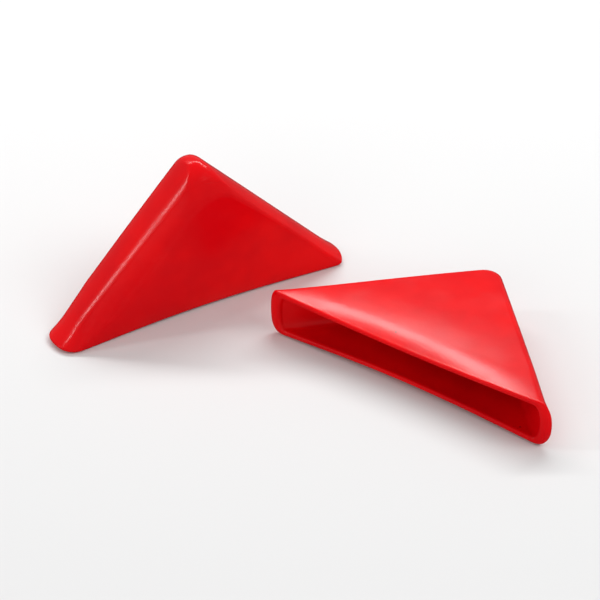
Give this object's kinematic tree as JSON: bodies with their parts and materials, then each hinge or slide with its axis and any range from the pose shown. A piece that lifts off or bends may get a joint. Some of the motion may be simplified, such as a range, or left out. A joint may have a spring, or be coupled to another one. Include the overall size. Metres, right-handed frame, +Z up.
{
  "type": "dip-moulded corner cover pair",
  "caption": "Pair of hollow soft PVC covers for the right-angled corner of a plate, closed on both legs and open along the mouth; one stands and one lies flat.",
  "frame": {"origin": "middle of the standing cover's mouth, on the table", "axes": "+X along the standing cover's mouth, +Y through its thickness away from the lying cover, +Z up towards its right-angled corner"},
  "size_m": [0.1263, 0.1322, 0.0502],
  "materials": {
    "soft_pvc": "glossy red plasticised PVC, dip moulded, with a faint orange peel"
  },
  "bodies": {
    "lying_cover": {"lying_cover": "soft_pvc"},
    "standing_cover": {"standing_cover": "soft_pvc"}
  },
  "joints": [
    {"name": "standing_lift", "type": "slide", "parent": "lying_cover", "child": "standing_cover", "axis": [0, 0, 1], "range_m": [0, 0.06]}
  ]
}
